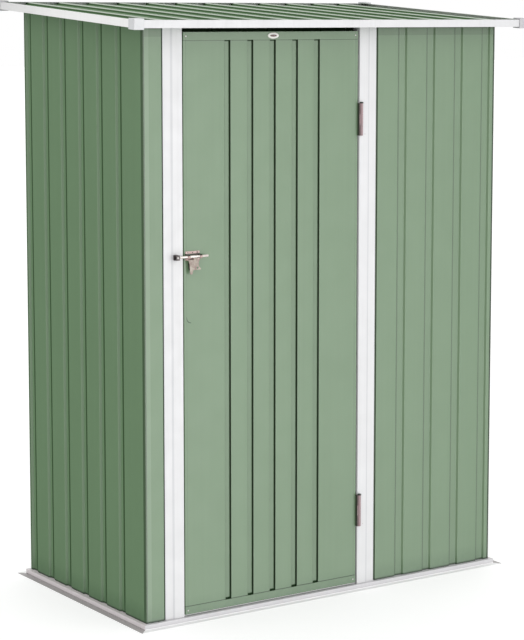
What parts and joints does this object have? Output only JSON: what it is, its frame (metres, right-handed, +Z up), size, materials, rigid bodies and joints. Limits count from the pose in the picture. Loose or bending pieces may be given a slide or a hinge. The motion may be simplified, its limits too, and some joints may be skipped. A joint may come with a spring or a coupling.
{
  "type": "metal tool shed",
  "caption": "Small metal tool shed with grooved sheet walls, a single-pitch roof, white trims and one hinged door with a sliding latch bolt.",
  "frame": {"origin": "on the ground under the middle of the roof's outline", "axes": "+X to the right seen from the front, +Y from the front to the back, +Z up"},
  "size_m": [1.464, 0.87, 1.8575],
  "materials": {
    "green_sheet": "satin green coated sheet steel",
    "door_green": "satin green coated sheet steel",
    "white_trim": "satin white coated steel",
    "rail_white": "off-white coated steel",
    "galvanised": "galvanised steel",
    "cap_plastic": "light grey moulded plastic",
    "hinge_steel": "zinc-plated steel",
    "latch_steel": "zinc-plated steel",
    "badge_plastic": "plain blank oval"
  },
  "bodies": {
    "shed": {"base_rail_front": "rail_white", "base_rail_back": "rail_white", "base_rail_left": "rail_white", "base_rail_right": "rail_white", "corner_post_front_left": "galvanised", "corner_post_front_right": "galvanised", "corner_post_back_left": "galvanised", "corner_post_back_right": "galvanised", "left_wall": "green_sheet", "right_wall": "green_sheet", "back_wall_left": "green_sheet", "back_wall_right": "green_sheet", "front_corner_panel": "green_sheet", "front_right_panel": "green_sheet", "door_jamb_left": "white_trim", "door_jamb_right": "white_trim", "top_beam_front": "galvanised", "top_beam_back": "galvanised", "top_beam_left": "galvanised", "top_beam_right": "galvanised", "roof_beam": "galvanised", "roof_sheet_left": "green_sheet", "roof_sheet_right": "green_sheet", "roof_trim_front": "white_trim", "roof_trim_back": "white_trim", "roof_trim_left": "white_trim", "roof_trim_right": "white_trim", "roof_cap_front_left": "cap_plastic", "roof_cap_front_right": "cap_plastic", "roof_cap_back_left": "cap_plastic", "roof_cap_back_right": "cap_plastic", "hinge_frame_leaves": "hinge_steel", "latch_keeper": "latch_steel"},
    "door": {"door_skin": "door_green", "door_top_channel": "door_green", "door_bottom_channel": "door_green", "door_latch_stile": "door_green", "door_hinge_stile": "door_green", "hinge_door_leaves": "hinge_steel", "latch_guide": "latch_steel", "door_badge": "badge_plastic"},
    "bolt": {"latch_bolt": "latch_steel"}
  },
  "joints": [
    {"name": "door_swing", "type": "hinge", "parent": "shed", "child": "door", "pos_m": [0.1175, -0.3677, 0.8725], "axis": [0, 0, 1], "range_deg": [0, 150]},
    {"name": "bolt_slide", "type": "slide", "parent": "door", "child": "bolt", "axis": [-1, 0, 0], "range_m": [-0.006, 0.014]}
  ]
}
